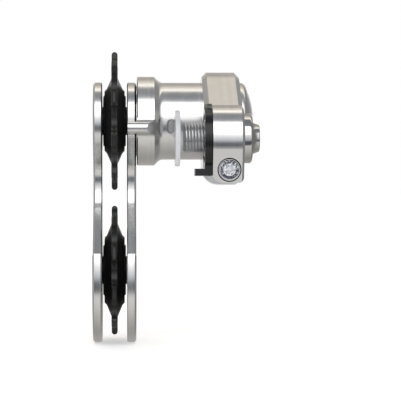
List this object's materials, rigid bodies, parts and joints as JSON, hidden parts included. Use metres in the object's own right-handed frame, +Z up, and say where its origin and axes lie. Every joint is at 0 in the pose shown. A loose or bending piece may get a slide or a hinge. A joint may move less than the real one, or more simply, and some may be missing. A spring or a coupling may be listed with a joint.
{
  "type": "bicycle chain tensioner",
  "caption": "Sprung bicycle chain tensioner: toothed pulleys in a swinging cage on a turned spring housing, clamped in a bracket with a hanger bolt.",
  "frame": {"origin": "on the mounting bolt's axis, in the hanger face of the stop washer", "axes": "+X outboard along the bolt, away from the wheel, +Y forward on the bicycle, +Z up"},
  "size_m": [0.0543, 0.0592, 0.0981],
  "materials": {
    "milled_aluminium": "satin, with fine milling lines",
    "turned_aluminium": "satin, with fine turning lines",
    "bright_steel": "polished",
    "zinc_steel": "bright zinc",
    "spring_steel": "drawn wire",
    "black_steel": "black coated steel",
    "black_plastic": "moulded, slight sheen",
    "white_plastic": "moulded",
    "clear_plastic": "translucent, moulded",
    "bronze": "sintered",
    "black_rubber": "matte"
  },
  "bodies": {
    "bracket": {"bracket": "milled_aluminium", "clamp_screw": "zinc_steel"},
    "bolt": {"mounting_bolt": "bright_steel", "bolt_retaining_ring": "spring_steel", "thread_protector": "clear_plastic"},
    "washer": {"stop_washer": "black_steel"},
    "housing": {"spring_housing": "turned_aluminium", "housing_end_cap": "turned_aluminium", "inner_pivot_bushing": "bronze", "outer_pivot_bushing": "bronze", "thrust_washer": "bright_steel", "torsion_spring": "spring_steel"},
    "cage": {"inner_cage_plate": "milled_aluminium", "outer_cage_plate": "milled_aluminium", "pivot_spindle": "bright_steel", "spindle_retaining_ring": "spring_steel", "spring_driver": "turned_aluminium", "upper_axle_screw": "bright_steel", "lower_axle_screw": "bright_steel", "lower_axle_sleeve": "bright_steel", "upper_inner_dust_cap": "black_plastic", "upper_outer_dust_cap": "black_plastic", "lower_inner_dust_cap": "black_plastic", "lower_outer_dust_cap": "black_plastic", "upper_bearing_inner_ring": "bright_steel", "lower_bearing_inner_ring": "bright_steel"},
    "upper_pulley": {"upper_pulley_wheel": "black_plastic", "upper_bearing_outer_ring": "bright_steel", "upper_bearing_seals": "black_rubber"},
    "upper_balls": {"upper_bearing_balls": "bright_steel", "upper_bearing_retainer": "white_plastic"},
    "lower_pulley": {"lower_pulley_wheel": "black_plastic", "lower_bearing_outer_ring": "bright_steel", "lower_bearing_seals": "black_rubber"},
    "lower_balls": {"lower_bearing_balls": "bright_steel", "lower_bearing_retainer": "white_plastic"}
  },
  "joints": [
    {"name": "chainline_slide", "type": "slide", "parent": "bracket", "child": "housing", "axis": [1, 0, 0], "range_m": [-0.0005, 0.006]},
    {"name": "cage_pivot", "type": "hinge", "parent": "housing", "child": "cage", "pos_m": [-0.0292, 0.024, 0.0064], "axis": [1, 0, 0], "range_deg": [0, 90], "stiffness_Nm_per_rad": 0.22, "springref_deg": -179.91, "deforming": ["torsion_spring"]},
    {"name": "upper_pulley_spin", "type": "hinge", "parent": "cage", "child": "upper_pulley", "pos_m": [-0.0292, 0.024, 0.0064], "axis": [1, 0, 0], "continuous": true},
    {"name": "upper_balls_roll", "type": "hinge", "parent": "cage", "child": "upper_balls", "pos_m": [-0.0292, 0.024, 0.0064], "axis": [1, 0, 0], "continuous": true},
    {"name": "lower_pulley_spin", "type": "hinge", "parent": "cage", "child": "lower_pulley", "pos_m": [-0.0292, 0.024, -0.044], "axis": [1, 0, 0], "continuous": true},
    {"name": "lower_balls_roll", "type": "hinge", "parent": "cage", "child": "lower_balls", "pos_m": [-0.0292, 0.024, -0.044], "axis": [1, 0, 0], "continuous": true},
    {"name": "mounting_bolt_turn", "type": "hinge", "parent": "bracket", "child": "bolt", "pos_m": [0, 0, 0], "axis": [1, 0, 0], "continuous": true},
    {"name": "stop_washer_turn", "type": "hinge", "parent": "bracket", "child": "washer", "pos_m": [0, 0, 0], "axis": [1, 0, 0], "range_deg": [-140, 30]}
  ],
  "couplings": [
    {"joint": "upper_balls_roll", "follows": "upper_pulley_spin", "ratio": 0.5992},
    {"joint": "lower_balls_roll", "follows": "lower_pulley_spin", "ratio": 0.5992}
  ]
}
